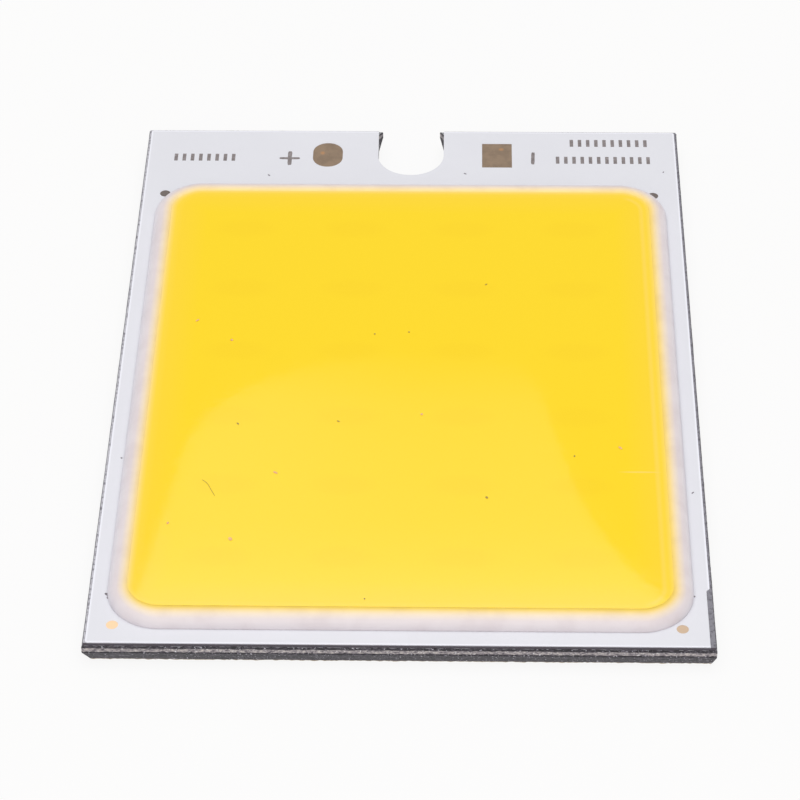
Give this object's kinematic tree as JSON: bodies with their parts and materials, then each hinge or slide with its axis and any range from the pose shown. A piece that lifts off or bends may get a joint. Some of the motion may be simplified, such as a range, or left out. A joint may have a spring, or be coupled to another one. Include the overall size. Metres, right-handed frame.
{
  "type": "cob led",
  "caption": "Flat chip-on-board light source: white-masked aluminium plate with a screw notch, two solder pads and a dammed field of yellow phosphor silicone.",
  "frame": {"origin": "middle of the aluminium plate's underside", "axes": "+X across the board, towards the square minus pad; +Y along the board, towards the screw notch; +Z out of the light-giving face"},
  "size_m": [0.026, 0.036, 0.0017],
  "materials": {
    "aluminium": "dark, torn and dull at the snapped edges, plain on the faces",
    "insulation": "grey filled resin",
    "copper": "bare copper under a thin clear preservative, brownish",
    "white_mask": "white solder mask, satin",
    "adhesive": "silver-filled adhesive",
    "chip_sapphire": "polished crystal",
    "gold_wire": "drawn gold wire",
    "milky_silicone": "milky, translucent and softly glossy",
    "phosphor_silicone": "opaque yellow, smooth, softly glossy"
  },
  "bodies": {
    "root": {"base_plate": "aluminium", "dielectric": "insulation", "positive_rail": "copper", "negative_rail": "copper", "series_links": "copper", "solder_mask": "white_mask", "die_attach": "adhesive", "led_chip_11": "chip_sapphire", "led_chip_12": "chip_sapphire", "led_chip_13": "chip_sapphire", "led_chip_14": "chip_sapphire", "led_chip_21": "chip_sapphire", "led_chip_22": "chip_sapphire", "led_chip_23": "chip_sapphire", "led_chip_24": "chip_sapphire", "led_chip_31": "chip_sapphire", "led_chip_32": "chip_sapphire", "led_chip_33": "chip_sapphire", "led_chip_34": "chip_sapphire", "led_chip_41": "chip_sapphire", "led_chip_42": "chip_sapphire", "led_chip_43": "chip_sapphire", "led_chip_44": "chip_sapphire", "led_chip_51": "chip_sapphire", "led_chip_52": "chip_sapphire", "led_chip_53": "chip_sapphire", "led_chip_54": "chip_sapphire", "led_chip_61": "chip_sapphire", "led_chip_62": "chip_sapphire", "led_chip_63": "chip_sapphire", "led_chip_64": "chip_sapphire", "bond_wires_1": "gold_wire", "bond_wires_2": "gold_wire", "bond_wires_3": "gold_wire", "bond_wires_4": "gold_wire", "bond_wires_5": "gold_wire", "bond_wires_6": "gold_wire", "dam": "milky_silicone", "phosphor_fill": "phosphor_silicone"}
  },
  "joints": []
}
